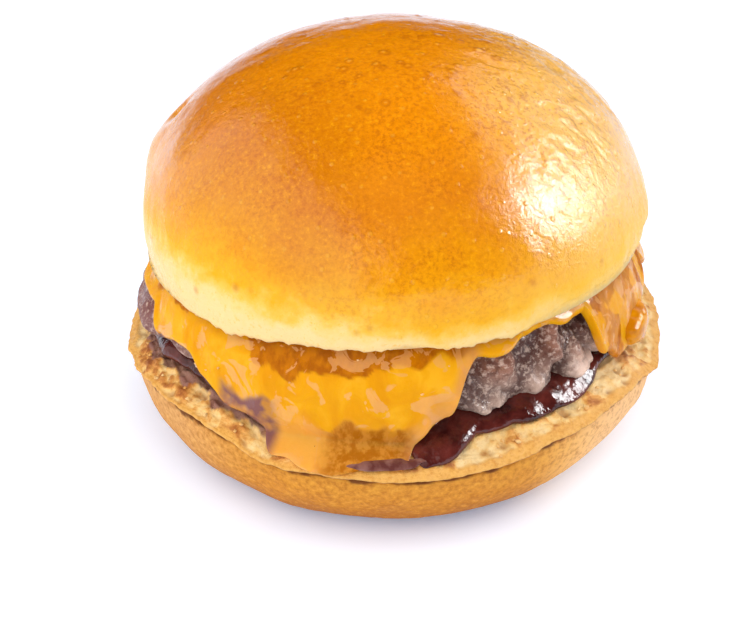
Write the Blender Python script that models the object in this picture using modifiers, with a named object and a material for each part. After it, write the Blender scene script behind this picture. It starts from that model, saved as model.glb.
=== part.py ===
"""Cheeseburger: a beef patty under a melted cheese slice, on dark sauce, in a round glazed bun.

Metres, +Z up. The origin is the middle of the flat spot under the heel, and the front faces -Y.
From the bottom up the layers are the heel, the sauce, the patty, the cheese and the crown. Each
runs right through the food as one closed solid. A layer starts as an outline turned about Z, and
is then pressed out of round by functions of the bearing round the burger. Bearings are in
degrees: 0 at the front, positive towards +X.
"""

import math

import bpy
from mathutils import Vector, noise

# Driving sizes. Radii are from the burger's middle line.
BUN_RADIUS = 0.053
PATTY_RADIUS = 0.0475
HEEL_HEIGHT = 0.0238
SAUCE_HEIGHT = 0.0016
PATTY_HEIGHT = 0.0156
CHEESE_THICKNESS = 0.0018
CROWN_HEIGHT = 0.0396
GAP = 0.0003

# Everything above the sauce leans: the patty is thicker at the front and on the right.
LEAN_FRONT = math.radians(3.5)
LEAN_RIGHT = math.radians(1.4)

# Levels on the middle line where one layer ends and the next begins.
SAUCE_FLOOR = HEEL_HEIGHT + GAP
PATTY_FLOOR = SAUCE_FLOOR + SAUCE_HEIGHT + GAP
PATTY_TOP = PATTY_FLOOR + PATTY_HEIGHT
CHEESE_FLOOR = PATTY_TOP + GAP


def ease(share):
    """0 to 1, level at both ends."""
    share = min(max(share, 0.0), 1.0)
    return share * share * (3 - 2 * share)


def mix(low, high, share):
    return low + (high - low) * share


def band(bearing, start, end, soft):
    """1 between two bearings, easing to 0 over soft degrees on either side."""
    away = abs((bearing - (start + end) / 2 + 180) % 360 - 180)
    return 1 - ease((away - (end - start) / 2) / soft)


def waver(bearing, *waves):
    """The sum of a few waves round the burger, each given as (count, height, phase)."""
    turn = math.radians(bearing)
    return sum(height * math.sin(count * turn + phase) for count, height, phase in waves)


def lean(radius, bearing, height):
    """How far a point of the filling is lifted: nothing at the patty's floor, all of it at its top."""
    turn = math.radians(bearing)
    rise = radius * (math.cos(turn) * math.tan(LEAN_FRONT) + math.sin(turn) * math.tan(LEAN_RIGHT))
    return rise * min(max((height - PATTY_FLOOR) / PATTY_HEIGHT, 0.0), 1.0)


def keep_evaluated(layer):
    """Swaps a layer's mesh for what its modifiers make of it."""
    graph = bpy.context.evaluated_depsgraph_get()
    layer.data = bpy.data.meshes.new_from_object(layer.evaluated_get(graph))
    layer.data.name = layer.name
    layer.modifiers.clear()


def turned(name, outline, steps):
    """A shape turned about Z. The outline runs from the axis, out, down and back to the axis."""
    mesh = bpy.data.meshes.new(name)
    edges = [(i, i + 1) for i in range(len(outline) - 1)]
    mesh.from_pydata([(radius, 0, height) for radius, height in outline], edges, [])
    layer = bpy.data.objects.new(name, mesh)
    burger.objects.link(layer)
    screw = layer.modifiers.new("turn", "SCREW")
    screw.steps = screw.render_steps = steps
    screw.use_merge_vertices = True
    screw.merge_threshold = 0.00001
    keep_evaluated(layer)
    return layer


def press(layer, shape):
    """Moves each point to the radius and height that shape gives for its (radius, bearing, height)."""
    for vertex in layer.data.vertices:
        x, y, height = vertex.co
        radius = math.hypot(x, y)
        bearing = math.degrees(math.atan2(x, -y)) if radius > 0 else 0
        new_radius, new_height = shape(radius, bearing, height)
        turn = math.radians(bearing)
        vertex.co = (math.sin(turn) * new_radius, -math.cos(turn) * new_radius, new_height)


def finish(layer, colour, roughness, sharp_edge=60):
    """Gives a layer its material and smooth shading."""
    material = bpy.data.materials.new(layer.name)
    material.use_nodes = True
    surface = material.node_tree.nodes["Principled BSDF"]
    surface.inputs["Base Color"].default_value = (*colour, 1)
    surface.inputs["Roughness"].default_value = roughness
    surface.inputs["Metallic"].default_value = 0
    layer.data.materials.clear()
    layer.data.materials.append(material)
    layer.data.shade_smooth()
    layer.data.set_sharp_from_angle(angle=math.radians(sharp_edge))


# The heel: a flat foot, a crust that swells outwards, and a cut face whose torn edge overhangs it.
FOOT_RADIUS = 0.72 * BUN_RADIUS
CRUST_RADIUS = 0.978 * BUN_RADIUS
CRUST_TAPER = 1.3
CREASE_HEIGHT = 0.735 * HEEL_HEIGHT
CREASE_DEPTH = 0.0012
EDGE_HEIGHT = 0.79 * HEEL_HEIGHT
LEVEL_RADIUS = 0.75 * BUN_RADIUS
HEEL_TEARS = ((13, 0.0004, 1.0), (19, 0.0004, 3.3))
HEEL_SWELLS = ((2, 0.0004, 0.8), (5, 0.0003, 2.0))
HEEL_SAGS = ((7, 0.0003, 2.1), (11, 0.0003, 4.0))
# Where the edge stands higher, on either side of the pressed-down front: (start, end, soft
# ends, lift).
HEEL_LIFTS = (
    (-62, -36, 14, 0.0024),
    (33, 58, 14, 0.0022),
    (105, 150, 20, 0.0012),
    (-160, -115, 20, 0.0016),
)
HEEL_STEPS = 56


def cut_face(radius):
    """The height of the heel's cut face: level in the middle, falling away to its torn edge."""
    out = max(0.0, (radius - LEVEL_RADIUS) / (BUN_RADIUS - LEVEL_RADIUS))
    return HEEL_HEIGHT - (HEEL_HEIGHT - EDGE_HEIGHT) * out ** 2


def cut_face_radius(height):
    """The radius at which the heel's cut face has fallen to this height."""
    fall = max(0.0, (HEEL_HEIGHT - height) / (HEEL_HEIGHT - EDGE_HEIGHT))
    return LEVEL_RADIUS + (BUN_RADIUS - LEVEL_RADIUS) * math.sqrt(fall)


def heel_lift(radius, bearing, height):
    """How far the heel's outer part lifts or sags, which what lies on it follows."""
    lift = waver(bearing, *HEEL_SAGS)
    lift += sum(rise * band(bearing, start, end, soft) for start, end, soft, rise in HEEL_LIFTS)
    return lift * (radius / BUN_RADIUS) ** 4 * min(height / EDGE_HEIGHT, 1.0)


def heel_spread(radius, bearing):
    """How far the heel's outer part is pushed out or drawn in."""
    outside = ease((radius - LEVEL_RADIUS) / (BUN_RADIUS - LEVEL_RADIUS))
    return waver(bearing, *HEEL_TEARS, *HEEL_SWELLS) * outside


def make_heel():
    outline = [(0, HEEL_HEIGHT), (LEVEL_RADIUS / 2, HEEL_HEIGHT)]
    for i in range(5):
        radius = mix(LEVEL_RADIUS, BUN_RADIUS, i / 4)
        outline.append((radius, cut_face(radius)))
    outline.append((BUN_RADIUS - CREASE_DEPTH / 2, CREASE_HEIGHT + CREASE_DEPTH / 4))
    outline.append((CRUST_RADIUS - CREASE_DEPTH, CREASE_HEIGHT))
    for i in range(6):
        turn = math.radians(90 * i / 5)
        radius = mix(FOOT_RADIUS, CRUST_RADIUS, math.cos(turn) ** CRUST_TAPER)
        outline.append((radius, (CREASE_HEIGHT - CREASE_DEPTH) * (1 - math.sin(turn))))
    outline += [(FOOT_RADIUS / 2, 0), (0, 0)]

    def shape(radius, bearing, height):
        spread = heel_spread(radius, bearing) * ease(2 * height / HEEL_HEIGHT - 0.5)
        return radius + spread, height + heel_lift(radius, bearing, height)

    heel = turned("bun_heel", outline, HEEL_STEPS)
    press(heel, shape)
    finish(heel, (0.79, 0.34, 0.06), 0.7)


# The sauce: a thin layer, squeezed out past the patty in a few places. Each squeeze is
# (start, end, soft ends, how far out).
SAUCE_RADIUS = 0.0455
SQUEEZES = (
    (12, 46, 8, 0.0030),
    (8, 10, 5, 0.0062),
    (-100, -68, 10, 0.0040),
    (112, 160, 14, 0.0045),
    (-168, -140, 12, 0.0035),
)
SAUCE_STEPS = 64


def make_sauce():
    ceiling = SAUCE_FLOOR + SAUCE_HEIGHT
    outline = [(0, ceiling), (0.5 * SAUCE_RADIUS, ceiling), (0.85 * SAUCE_RADIUS, ceiling)]
    for i in range(6):
        turn = math.radians(75 - 150 * i / 5)
        radius = SAUCE_RADIUS * (0.92 + 0.08 * math.cos(turn))
        outline.append((radius, SAUCE_FLOOR + SAUCE_HEIGHT * (0.5 + 0.5 * math.sin(turn))))
    outline += [(0.85 * SAUCE_RADIUS, SAUCE_FLOOR), (0.5 * SAUCE_RADIUS, SAUCE_FLOOR), (0, SAUCE_FLOOR)]

    def shape(radius, bearing, height):
        squeezed = max(out * band(bearing, start, end, soft) for start, end, soft, out in SQUEEZES)
        squeezed += waver(bearing, (9, 0.0003, 0.3), (16, 0.0003, 1.7))
        radius += squeezed * ease((radius / SAUCE_RADIUS - 0.5) / 0.4)
        share = (height - SAUCE_FLOOR) / SAUCE_HEIGHT
        heel_top = cut_face(radius - heel_spread(radius, bearing))
        heel_top += heel_lift(radius, bearing, EDGE_HEIGHT)
        floor = heel_top + 3 * GAP * ease(radius / LEVEL_RADIUS)
        past_patty = max(0.0, radius - (PATTY_RADIUS - 0.001))
        return radius, mix(floor, ceiling - 0.45 * past_patty, share)

    sauce = turned("sauce", outline, SAUCE_STEPS)
    press(sauce, shape)
    finish(sauce, (0.06, 0.008, 0.006), 0.15)


# The patty: a wide soft shoulder, a tight turn underneath, and the coarse knuckles of
# hand-pressed mince.
SHOULDER_WIDTH = 0.0095
SHOULDER_DROP = 0.0135
SHOULDER_RADIUS = PATTY_RADIUS - SHOULDER_WIDTH
SHOULDER_LEVEL = PATTY_TOP - SHOULDER_DROP
KNUCKLE_DEPTH = 0.0016
KNUCKLE_SIZE = 0.008
PATTY_BULGES = ((-105, -64, 16, 0.0022), (18, 40, 12, 0.0005))
PATTY_STEPS = 60


def patty_edge(height):
    """The radius of the patty's shoulder at a height, before its knuckles."""
    rise = max(0.0, (height - SHOULDER_LEVEL) / SHOULDER_DROP)
    return SHOULDER_RADIUS + SHOULDER_WIDTH * math.sqrt(max(0.0, 1 - rise * rise))


def patty_bulge(bearing, height):
    """How far the patty swells out of round, below its shoulder."""
    out = sum(out * band(bearing, start, end, soft) for start, end, soft, out in PATTY_BULGES)
    return out * ease((PATTY_TOP - height) / SHOULDER_DROP - 0.2)


def make_patty():
    outline = [(0, PATTY_TOP), (SHOULDER_RADIUS / 2, PATTY_TOP)]
    for i in range(7):
        turn = math.radians(90 - 90 * i / 6)
        radius = SHOULDER_RADIUS + SHOULDER_WIDTH * math.cos(turn)
        outline.append((radius, SHOULDER_LEVEL + SHOULDER_DROP * math.sin(turn)))
    under = SHOULDER_LEVEL - PATTY_FLOOR
    outline += [
        (PATTY_RADIUS - 0.3 * under, SHOULDER_LEVEL - 0.7 * under),
        (PATTY_RADIUS - under, PATTY_FLOOR),
        (SHOULDER_RADIUS / 2, PATTY_FLOOR),
        (0, PATTY_FLOOR),
    ]

    def shape(radius, bearing, height):
        turn = math.radians(bearing)
        place = Vector((math.sin(turn) * PATTY_RADIUS, math.cos(turn) * PATTY_RADIUS, 0.6 * height))
        knuckle = KNUCKLE_DEPTH * (0.5 + 0.5 * noise.noise(place / KNUCKLE_SIZE))
        out = (patty_bulge(bearing, height) - knuckle) * ease((radius / PATTY_RADIUS - 0.7) / 0.2)
        return radius + out, height + lean(radius, bearing, height)

    patty = turned("patty", outline, PATTY_STEPS)
    press(patty, shape)
    finish(patty, (0.22, 0.10, 0.07), 0.4)


# The cheese: a slice whose soft edge hangs down the patty in flaps. Each flap is
# (start, end, soft ends, how far it falls).
FLAPS = (
    (-24, -2, 8, 0.0228),
    (-38, 4, 6, 0.0150),
    (-46, 15, 5, 0.0120),
    (-66, -57, 6, 0.0105),
    (12, 50, 4, 0.0048),
    (53, 61, 4, 0.0115),
    (66, 71, 4, 0.0150),
    (80, 118, 12, 0.0100),
    (128, 150, 10, 0.0140),
    (168, 214, 12, 0.0085),
    (-128, -96, 10, 0.0120),
)
# It first folds over the patty's shoulder and then hangs.
FOLD_FALL = 0.0026
LEAST_FALL = 0.0034
FOLD_STEPS = 3
HANG_STEPS = 5
CHEESE_STEPS = 80


def hem_fall(bearing):
    """How far below its top the cheese hangs."""
    fall = max(fall * band(bearing, start, end, soft) for start, end, soft, fall in FLAPS)
    return max(LEAST_FALL, fall) + waver(bearing, (23, 0.0002, 0.4), (37, 0.0002, 1.1))


def drape_radius(bearing, height):
    """Where the cheese's inner face hangs: down the patty, then out over the heel's cut face."""
    on_patty = patty_edge(height) + patty_bulge(bearing, height) + 2 * GAP
    level = height - heel_lift(BUN_RADIUS, bearing, EDGE_HEIGHT)
    on_heel = cut_face_radius(level) + max(0.0, heel_spread(BUN_RADIUS, bearing))
    return max(on_patty, on_heel + 2 * GAP)


def make_cheese():
    step = 0.001
    outline = [(0, CHEESE_FLOOR), (SHOULDER_RADIUS / 2, CHEESE_FLOOR), (SHOULDER_RADIUS, CHEESE_FLOOR)]
    for i in range(FOLD_STEPS + HANG_STEPS):
        outline.append((SHOULDER_RADIUS, CHEESE_FLOOR - step * (i + 1)))

    def shape(radius, bearing, height):
        steps_down = (CHEESE_FLOOR - height) / step
        folded = min(steps_down / FOLD_STEPS, 1.0)
        hung = max(0.0, (steps_down - FOLD_STEPS) / HANG_STEPS)
        if steps_down > 0:
            height = CHEESE_FLOOR - mix(FOLD_FALL * folded ** 2, hem_fall(bearing), hung)
            radius = drape_radius(bearing, height)
        return radius, height + lean(radius, bearing, height)

    cheese = turned("cheese", outline, CHEESE_STEPS)
    press(cheese, shape)
    thicken = cheese.modifiers.new("thickness", "SOLIDIFY")
    thicken.thickness = CHEESE_THICKNESS
    thicken.offset = 1
    keep_evaluated(cheese)
    finish(cheese, (0.88, 0.40, 0.02), 0.25)


# The crown: a dome over a soft lip that overhangs the filling. Its underside is moulded to the
# cheese. It is made level, standing on its lip, and then leant to lie on the cheese.
CROWN_RADIUS = 0.0487
CROWN_BASE = 0.0393
CROWN_WAIST = 0.004
DOME_FULLNESS = 2.06
DOME_POINTS = 12
LIP_TUCK = 0.0004
LIP_WIDTH = 0.0012
CROWN_CLEARANCE = 0.0016
CROWN_STEPS = 52
# The dome is a little out of round: (count, height, phase).
DOME_WAVES = ((2, 0.0004, 1.0), (3, 0.0004, 2.4))
# Where the lip hangs lower: (start, end, soft ends, fall). A negative fall is a lift.
LIP_SAGS = ((-50, -34, 14, 0.0011), (14, 26, 10, 0.0010), (40, 62, 15, -0.0010))
# Soft dents in the dome: (bearing, height, size, depth).
DENTS = (
    (-104, 0.016, 0.012, 0.0016),
    (-98, 0.027, 0.012, 0.0014),
    (62, 0.029, 0.010, 0.0010),
    (80, 0.018, 0.010, 0.0009),
    (150, 0.024, 0.014, 0.0012),
)


def make_crown():
    outline = [(0, CROWN_HEIGHT)]
    for i in range(1, DOME_POINTS):
        turn = math.radians(90 - 90 * i / (DOME_POINTS - 1))
        radius = CROWN_RADIUS * math.cos(turn) ** (2 / DOME_FULLNESS)
        outline.append((radius, mix(CROWN_WAIST, CROWN_HEIGHT, math.sin(turn) ** (2 / DOME_FULLNESS))))
    lip = CROWN_RADIUS - LIP_TUCK
    outline += [(lip, 0.0008), (lip - 0.4 * LIP_WIDTH, 0), (lip - LIP_WIDTH, 0.0004)]
    # Up the inside of the lip and over the cheese's rounded shoulder, to the level middle.
    spare = CHEESE_THICKNESS + CROWN_CLEARANCE
    for degrees in (50, 63, 76, 90):
        turn = math.radians(degrees)
        outline.append((
            SHOULDER_RADIUS + (SHOULDER_WIDTH + spare) * math.cos(turn),
            SHOULDER_LEVEL - CROWN_BASE + (SHOULDER_DROP + spare) * math.sin(turn),
        ))
    ceiling = outline[-1][1]
    outline += [(lip / 2, ceiling), (0, ceiling)]
    last_outside = DOME_POINTS + 2

    def shape(radius, bearing, height):
        on_lip = (1 - ease(height / 0.010)) * ease((radius - (lip - LIP_WIDTH - 0.001)) / 0.001)
        sag = sum(fall * band(bearing, start, end, soft) for start, end, soft, fall in LIP_SAGS)
        sag += waver(bearing, (17, 0.0002, 0.6), (29, 0.0002, 2.0))
        outer = radius >= outline[last_outside][0] - 0.0001 or height > ceiling + 0.001
        swell = waver(bearing, *DOME_WAVES) * radius / CROWN_RADIUS if outer else 0
        for dent_bearing, dent_height, size, depth in DENTS:
            aside = math.radians((bearing - dent_bearing + 180) % 360 - 180) * CROWN_RADIUS
            near = math.exp(-(aside ** 2 + (height - dent_height) ** 2) / size ** 2)
            swell -= depth * near if outer and height > CROWN_WAIST else 0
        return radius + swell, height - sag * on_lip

    crown = turned("bun_crown", outline, CROWN_STEPS)
    press(crown, shape)
    crown.location.z = CROWN_BASE
    crown.rotation_euler = (-LEAN_FRONT, -LEAN_RIGHT, 0)
    finish(crown, (0.81, 0.26, 0.01), 0.3)


for old in list(bpy.data.objects):
    bpy.data.objects.remove(old)
burger = bpy.data.collections.new("cheeseburger")
bpy.context.scene.collection.children.link(burger)
make_heel()
make_sauce()
make_patty()
make_cheese()
make_crown()
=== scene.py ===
"""Looks of a cheeseburger: glazed bun, melted cheese, beef patty and dark sauce on a torn heel."""
import math
import random

import bpy
from mathutils import Euler, Matrix, Vector, noise


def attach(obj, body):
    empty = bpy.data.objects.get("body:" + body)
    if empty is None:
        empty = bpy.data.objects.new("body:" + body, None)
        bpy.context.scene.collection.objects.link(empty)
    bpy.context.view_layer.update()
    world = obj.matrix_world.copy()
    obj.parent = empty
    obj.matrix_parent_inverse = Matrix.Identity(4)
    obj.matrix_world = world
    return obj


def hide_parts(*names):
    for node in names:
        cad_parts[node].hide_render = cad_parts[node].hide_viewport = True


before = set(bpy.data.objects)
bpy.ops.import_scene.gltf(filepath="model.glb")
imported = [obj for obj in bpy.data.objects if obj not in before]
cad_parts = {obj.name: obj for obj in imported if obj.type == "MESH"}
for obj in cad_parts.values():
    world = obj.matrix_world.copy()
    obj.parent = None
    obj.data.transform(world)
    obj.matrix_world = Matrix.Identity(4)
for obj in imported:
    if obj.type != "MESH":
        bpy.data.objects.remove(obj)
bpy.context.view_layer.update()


# ----------------------------------------------------------
# The table it stands on, and the light. A plain white table beside a window of two panes on the
# right, with a wide white cloth hung on the left and daylight from above. The camera looks down
# at 32 degrees.

scene = bpy.context.scene
scene.view_settings.view_transform = "Standard"

camera_data = bpy.data.cameras.new("camera")
camera_data.lens = 84.4
camera_data.sensor_width = 36
camera = bpy.data.objects.new("camera", camera_data)
camera.location = (0.0011, -0.3, 0.2103)
camera.rotation_euler = (math.radians(57.58), math.radians(1.22), math.radians(0.13))
scene.collection.objects.link(camera)
scene.camera = camera

LOOKED_AT = Vector((0, 0, 0.04))
CLEAR_SKY = (0.97, 0.98, 1.0)


def hang_light(name, bearing, elevation, distance, width, height, watts, colour):
    """An area light that faces the burger from a bearing and elevation in degrees."""
    data = bpy.data.lights.new(name, "AREA")
    data.shape = "RECTANGLE"
    data.size = width
    data.size_y = height
    data.energy = watts
    data.color = colour
    light = bpy.data.objects.new(name, data)
    turn = math.radians(bearing)
    rise = math.radians(elevation)
    away = Vector((math.cos(rise) * math.sin(turn), -math.cos(rise) * math.cos(turn), math.sin(rise)))
    light.location = LOOKED_AT + distance * away
    light.rotation_euler = away.to_track_quat("Z", "Y").to_euler()
    scene.collection.objects.link(light)
    return light


window = hang_light("window", 86, 24, 0.9, 0.34, 0.50, 13.5, CLEAR_SKY)
window.visible_diffuse = False
far_pane = hang_light("far_pane", 106, 22, 0.9, 0.14, 0.42, 3.0, CLEAR_SKY)
far_pane.visible_diffuse = False
hang_light("window_wall", 112, 33, 0.9, 1.4, 0.8, 5.4, CLEAR_SKY)
hang_light("cloth", -72, 29, 0.85, 3.0, 1.0, 9.5, (1.0, 0.98, 0.97))
daylight = hang_light("daylight", 0, 62, 1.1, 1.0, 1.0, 6.6, (1.0, 0.99, 0.97))
daylight.visible_glossy = False

world = bpy.data.worlds.new("room")
world.use_nodes = True
world.node_tree.nodes["Background"].inputs["Color"].default_value = (*CLEAR_SKY, 1)
world.node_tree.nodes["Background"].inputs["Strength"].default_value = 0.44
world.cycles_visibility.glossy = False
scene.world = world


def placed(name, vertices, faces):
    """A smooth mesh object on the table."""
    mesh = bpy.data.meshes.new(name)
    mesh.from_pydata(vertices, [], faces)
    mesh.shade_smooth()
    piece = bpy.data.objects.new(name, mesh)
    scene.collection.objects.link(piece)
    return piece


TABLE_SIDE = 5.0
corner = TABLE_SIDE / 2
corners = [(-corner, -corner, 0), (corner, -corner, 0), (corner, corner, 0), (-corner, corner, 0)]
table = placed("table", corners, [(0, 1, 2, 3)])
table_finish = bpy.data.materials.new("white_table")
table_finish.use_nodes = True
table_surface = table_finish.node_tree.nodes["Principled BSDF"]
table_surface.inputs["Base Color"].default_value = (0.88, 0.92, 0.98, 1)
table_surface.inputs["Roughness"].default_value = 0.9
table_surface.inputs["Specular IOR Level"].default_value = 0.1
# Painted light: the table glows faintly blue, which lifts and blues the shadows on it.
table_surface.inputs["Emission Color"].default_value = (0.45, 0.66, 1.0, 1)
table_surface.inputs["Emission Strength"].default_value = 0.26
table.data.materials.append(table_finish)


# ----------------------------------------------------------
# The heel's crust. The underside and side of the bun's lower half: soft bread in a matte
# golden skin, pitted where steam left it in the oven. It was baked in one with the crumb above.

BUN_RADIUS = 0.053
HEEL_HEIGHT = 0.0238
FOOT_RADIUS = 0.72 * BUN_RADIUS
CRUST_RADIUS = 0.978 * BUN_RADIUS
CRUST_TAPER = 1.3
CREASE_HEIGHT = 0.735 * HEEL_HEIGHT
EDGE_HEIGHT = 0.79 * HEEL_HEIGHT
LEVEL_RADIUS = 0.75 * BUN_RADIUS
HEEL_SWELLS = ((2, 0.0004, 0.8), (5, 0.0003, 2.0))
HEEL_SAGS = ((7, 0.0003, 2.1), (11, 0.0003, 4.0))
# Where the edge stands higher, beside the pressed-down front: (start, end, soft ends, lift).
HEEL_LIFTS = (
    (-62, -36, 14, 0.0024),
    (33, 58, 14, 0.0022),
    (105, 150, 20, 0.0012),
    (-160, -115, 20, 0.0016),
)


def ease(share):
    """0 to 1, level at both ends."""
    share = min(max(share, 0.0), 1.0)
    return share * share * (3 - 2 * share)


def mix(low, high, share):
    return low + (high - low) * share


def waver(bearing, waves):
    """The sum of a few waves round the burger, each (count, height, phase)."""
    turn = math.radians(bearing)
    return sum(height * math.sin(count * turn + phase) for count, height, phase in waves)


def band(bearing, start, end, soft):
    """1 between two bearings, easing to 0 over soft degrees on either side."""
    away = abs((bearing - (start + end) / 2 + 180) % 360 - 180)
    return 1 - ease((away - (end - start) / 2) / soft)


def spot(radius, bearing, height):
    turn = math.radians(bearing)
    return Vector((math.sin(turn) * radius, -math.cos(turn) * radius, height))


def lumps(place, size, octaves=1):
    """Soft noise about 0, with lumps of this size and finer ones on them."""
    total, share = 0.0, 1.0
    for _ in range(octaves):
        total += share * noise.noise(place / size)
        size, share = size / 2.1, share * 0.5
    return total


def uneven(place, layers):
    """Lumps of several sizes on each other, each layer (height, size, octaves)."""
    return sum(height * lumps(place, size, octaves) for height, size, octaves in layers)


def turned_skin(name, outline, columns, shape, marks=()):
    """A closed skin turned about Z. The outline runs from the axis, out, down and back to it.

    shape(i, radius, bearing, height) gives each point's radius, height and its marks, which are
    numbers that the material reads by name.
    """
    vertices = []
    values = []
    last = len(outline) - 1
    for i, (radius, height) in enumerate(outline):
        if i in (0, last):
            vertices.append((0, 0, height))
            values.append((0.0,) * len(marks))
            continue
        for j in range(columns):
            bearing = 360 * j / columns
            new_radius, new_height, *mark = shape(i, radius, bearing, height)
            vertices.append(spot(new_radius, bearing, new_height))
            values.append(mark)
    faces = []
    for j in range(columns):
        after = (j + 1) % columns
        faces.append((0, 1 + j, 1 + after))
        bottom = len(vertices) - 1
        faces.append((bottom, bottom - columns + after, bottom - columns + j))
    for i in range(last - 2):
        row = 1 + i * columns
        for j in range(columns):
            after = (j + 1) % columns
            faces.append((row + j, row + columns + j, row + columns + after, row + after))
    piece = placed(name, vertices, faces)
    for k, mark in enumerate(marks):
        layer = piece.data.attributes.new(mark, "FLOAT", "POINT")
        layer.data.foreach_set("value", [value[k] for value in values])
    return piece


def cut_face(radius):
    """The height of the heel's cut face: level in the middle, falling away to its edge."""
    out = max(0.0, (radius - LEVEL_RADIUS) / (BUN_RADIUS - LEVEL_RADIUS))
    return HEEL_HEIGHT - (HEEL_HEIGHT - EDGE_HEIGHT) * out ** 2


def heel_lift(radius, bearing, height):
    lift = waver(bearing, HEEL_SAGS)
    lift += sum(rise * band(bearing, start, end, soft) for start, end, soft, rise in HEEL_LIFTS)
    return lift * (radius / BUN_RADIUS) ** 4 * min(height / EDGE_HEIGHT, 1.0)


def heel_spread(radius, bearing):
    outside = ease((radius - LEVEL_RADIUS) / (BUN_RADIUS - LEVEL_RADIUS))
    return waver(bearing, HEEL_SWELLS) * outside


CRUST_ROWS = 56
CREASE_TUCK = 0.0016
CRUST_TOP = CREASE_HEIGHT - 0.0012
CRUST_ROUND = 0.0008
PIT_SPACING = 0.0030
PIT_DEPTH = 0.00022
# Unevenness: (height, size of the lumps, octaves).
CRUST_LUMPS = ((0.00045, 0.010, 1), (0.00012, 0.0028, 2))
# Stretches of the side: (start, end, soft ends).
FRONT = (-25, 25, 30)
# Painted light: the side of the crust that faces the window is painted lighter.
PAINTED_LIGHT_SIDE = (45, 110, 22)
crust_outline = [(0, CRUST_TOP - 0.0010), (0.03, CRUST_TOP - 0.0010)]
crust_outline += [(0.045, CRUST_TOP - 0.0008), (CRUST_RADIUS - CREASE_TUCK, CRUST_TOP + 0.0004)]
for i in range(5):
    turn = math.radians(90 - 90 * i / 4)
    crust_outline.append((
        CRUST_RADIUS - CRUST_ROUND + CRUST_ROUND * math.cos(turn),
        CRUST_TOP + CRUST_ROUND * math.sin(turn),
    ))
for i in range(1, CRUST_ROWS + 1):
    turn = math.radians(90 * i / CRUST_ROWS)
    radius = mix(FOOT_RADIUS, CRUST_RADIUS, math.cos(turn) ** CRUST_TAPER)
    crust_outline.append((radius, CRUST_TOP * (1 - math.sin(turn))))
crust_outline += [(FOOT_RADIUS * 0.8, 0), (FOOT_RADIUS * 0.4, 0), (0, 0)]


def crust_shape(i, radius, bearing, height):
    place = spot(radius, bearing, height)
    skin = ease((radius - FOOT_RADIUS) / 0.004)
    swell = uneven(place, CRUST_LUMPS)
    distance = noise.voronoi(place / PIT_SPACING)[0][0]
    pit = PIT_DEPTH * (1 - ease(distance / 0.28)) * (lumps(place, 0.009) > 0.05)
    spread = heel_spread(radius, bearing) * ease(2 * height / HEEL_HEIGHT - 0.5)
    out = spread + (swell - pit) * skin
    # Partly the dark line where the bun tore, partly painted shadow: the crust's top edge under the
    # crumb's overhanging rim is marked dark.
    crack = ease((height - CRUST_TOP - 0.0001 - 0.0009 * lumps(place, 0.0030, 2)) / 0.0004)
    lifted = height + heel_lift(radius, bearing, height)
    front, sunny = band(bearing, *FRONT), band(bearing, *PAINTED_LIGHT_SIDE)
    return radius + out, lifted, pit / PIT_DEPTH, crack, front, sunny


CRUST_MARKS = ("pit", "crack", "front", "sunny")
heel_crust = turned_skin("heel_crust", crust_outline, 512, crust_shape, CRUST_MARKS)


def new_material(name):
    """A material, its nodes, its links and its shader."""
    material = bpy.data.materials.new(name)
    material.use_nodes = True
    tree = material.node_tree
    return material, tree, tree.nodes["Principled BSDF"]


def feed(tree, socket, value):
    """Links another socket to this one, or sets it to a value or a colour."""
    if isinstance(value, bpy.types.NodeSocket):
        tree.links.new(value, socket)
    elif socket.type == "RGBA":
        socket.default_value = (*value, 1)
    else:
        socket.default_value = value


def add(tree, kind, settings=None, **inputs):
    """A node with these settings, and inputs that are each a value or a socket to link from."""
    node = tree.nodes.new(kind)
    for name, value in (settings or {}).items():
        setattr(node, name, value)
    for name, value in inputs.items():
        feed(tree, node.inputs[name], value)
    return node


def steps(tree, value, *stops):
    """A colour ramp: each stop is (place, colour) or (place, grey)."""
    ramp = add(tree, "ShaderNodeValToRGB", Fac=value)
    elements = ramp.color_ramp.elements
    while len(elements) < len(stops):
        elements.new(0.5)
    for element, (place, colour) in zip(elements, stops):
        element.position = place
        element.color = (*colour, 1) if isinstance(colour, tuple) else (colour,) * 3 + (1,)
    return ramp.outputs["Color"]


def blended(tree, amount, below, above, kind="MIX"):
    """Two colours mixed by an amount, which is a value or a socket."""
    node = tree.nodes.new("ShaderNodeMix")
    node.data_type = "RGBA"
    node.blend_type = kind
    feed(tree, node.inputs[0], amount)
    feed(tree, node.inputs[6], below)
    feed(tree, node.inputs[7], above)
    return node.outputs[2]


def sums(tree, kind, *values):
    """A Math node of this kind on one or more values or sockets."""
    node = tree.nodes.new("ShaderNodeMath")
    node.operation = kind
    for socket, value in zip(node.inputs, values):
        feed(tree, socket, value)
    return node.outputs[0]


# The grain: noise in the burger's own space, about 0.5, with lumps of a size in metres.
grain = bpy.data.node_groups.new("grain", "ShaderNodeTree")
for name, kind in (
    ("Size", "NodeSocketFloat"), ("Stretch", "NodeSocketVector"), ("Detail", "NodeSocketFloat"),
    ("Roughness", "NodeSocketFloat"), ("Distortion", "NodeSocketFloat"),
):
    grain.interface.new_socket(name, in_out="INPUT", socket_type=kind)
grain.interface.new_socket("Grain", in_out="OUTPUT", socket_type="NodeSocketFloat")
given = add(grain, "NodeGroupInput").outputs
where = add(grain, "ShaderNodeTexCoord").outputs["Object"]
scaled = add(grain, "ShaderNodeMapping", Vector=where, Scale=given["Stretch"]).outputs["Vector"]
made = add(
    grain, "ShaderNodeTexNoise", Vector=scaled, Scale=sums(grain, "DIVIDE", 1.0, given["Size"]),
    Detail=given["Detail"], Roughness=given["Roughness"], Distortion=given["Distortion"],
)
add(grain, "NodeGroupOutput", Grain=made.outputs["Fac"])


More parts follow.
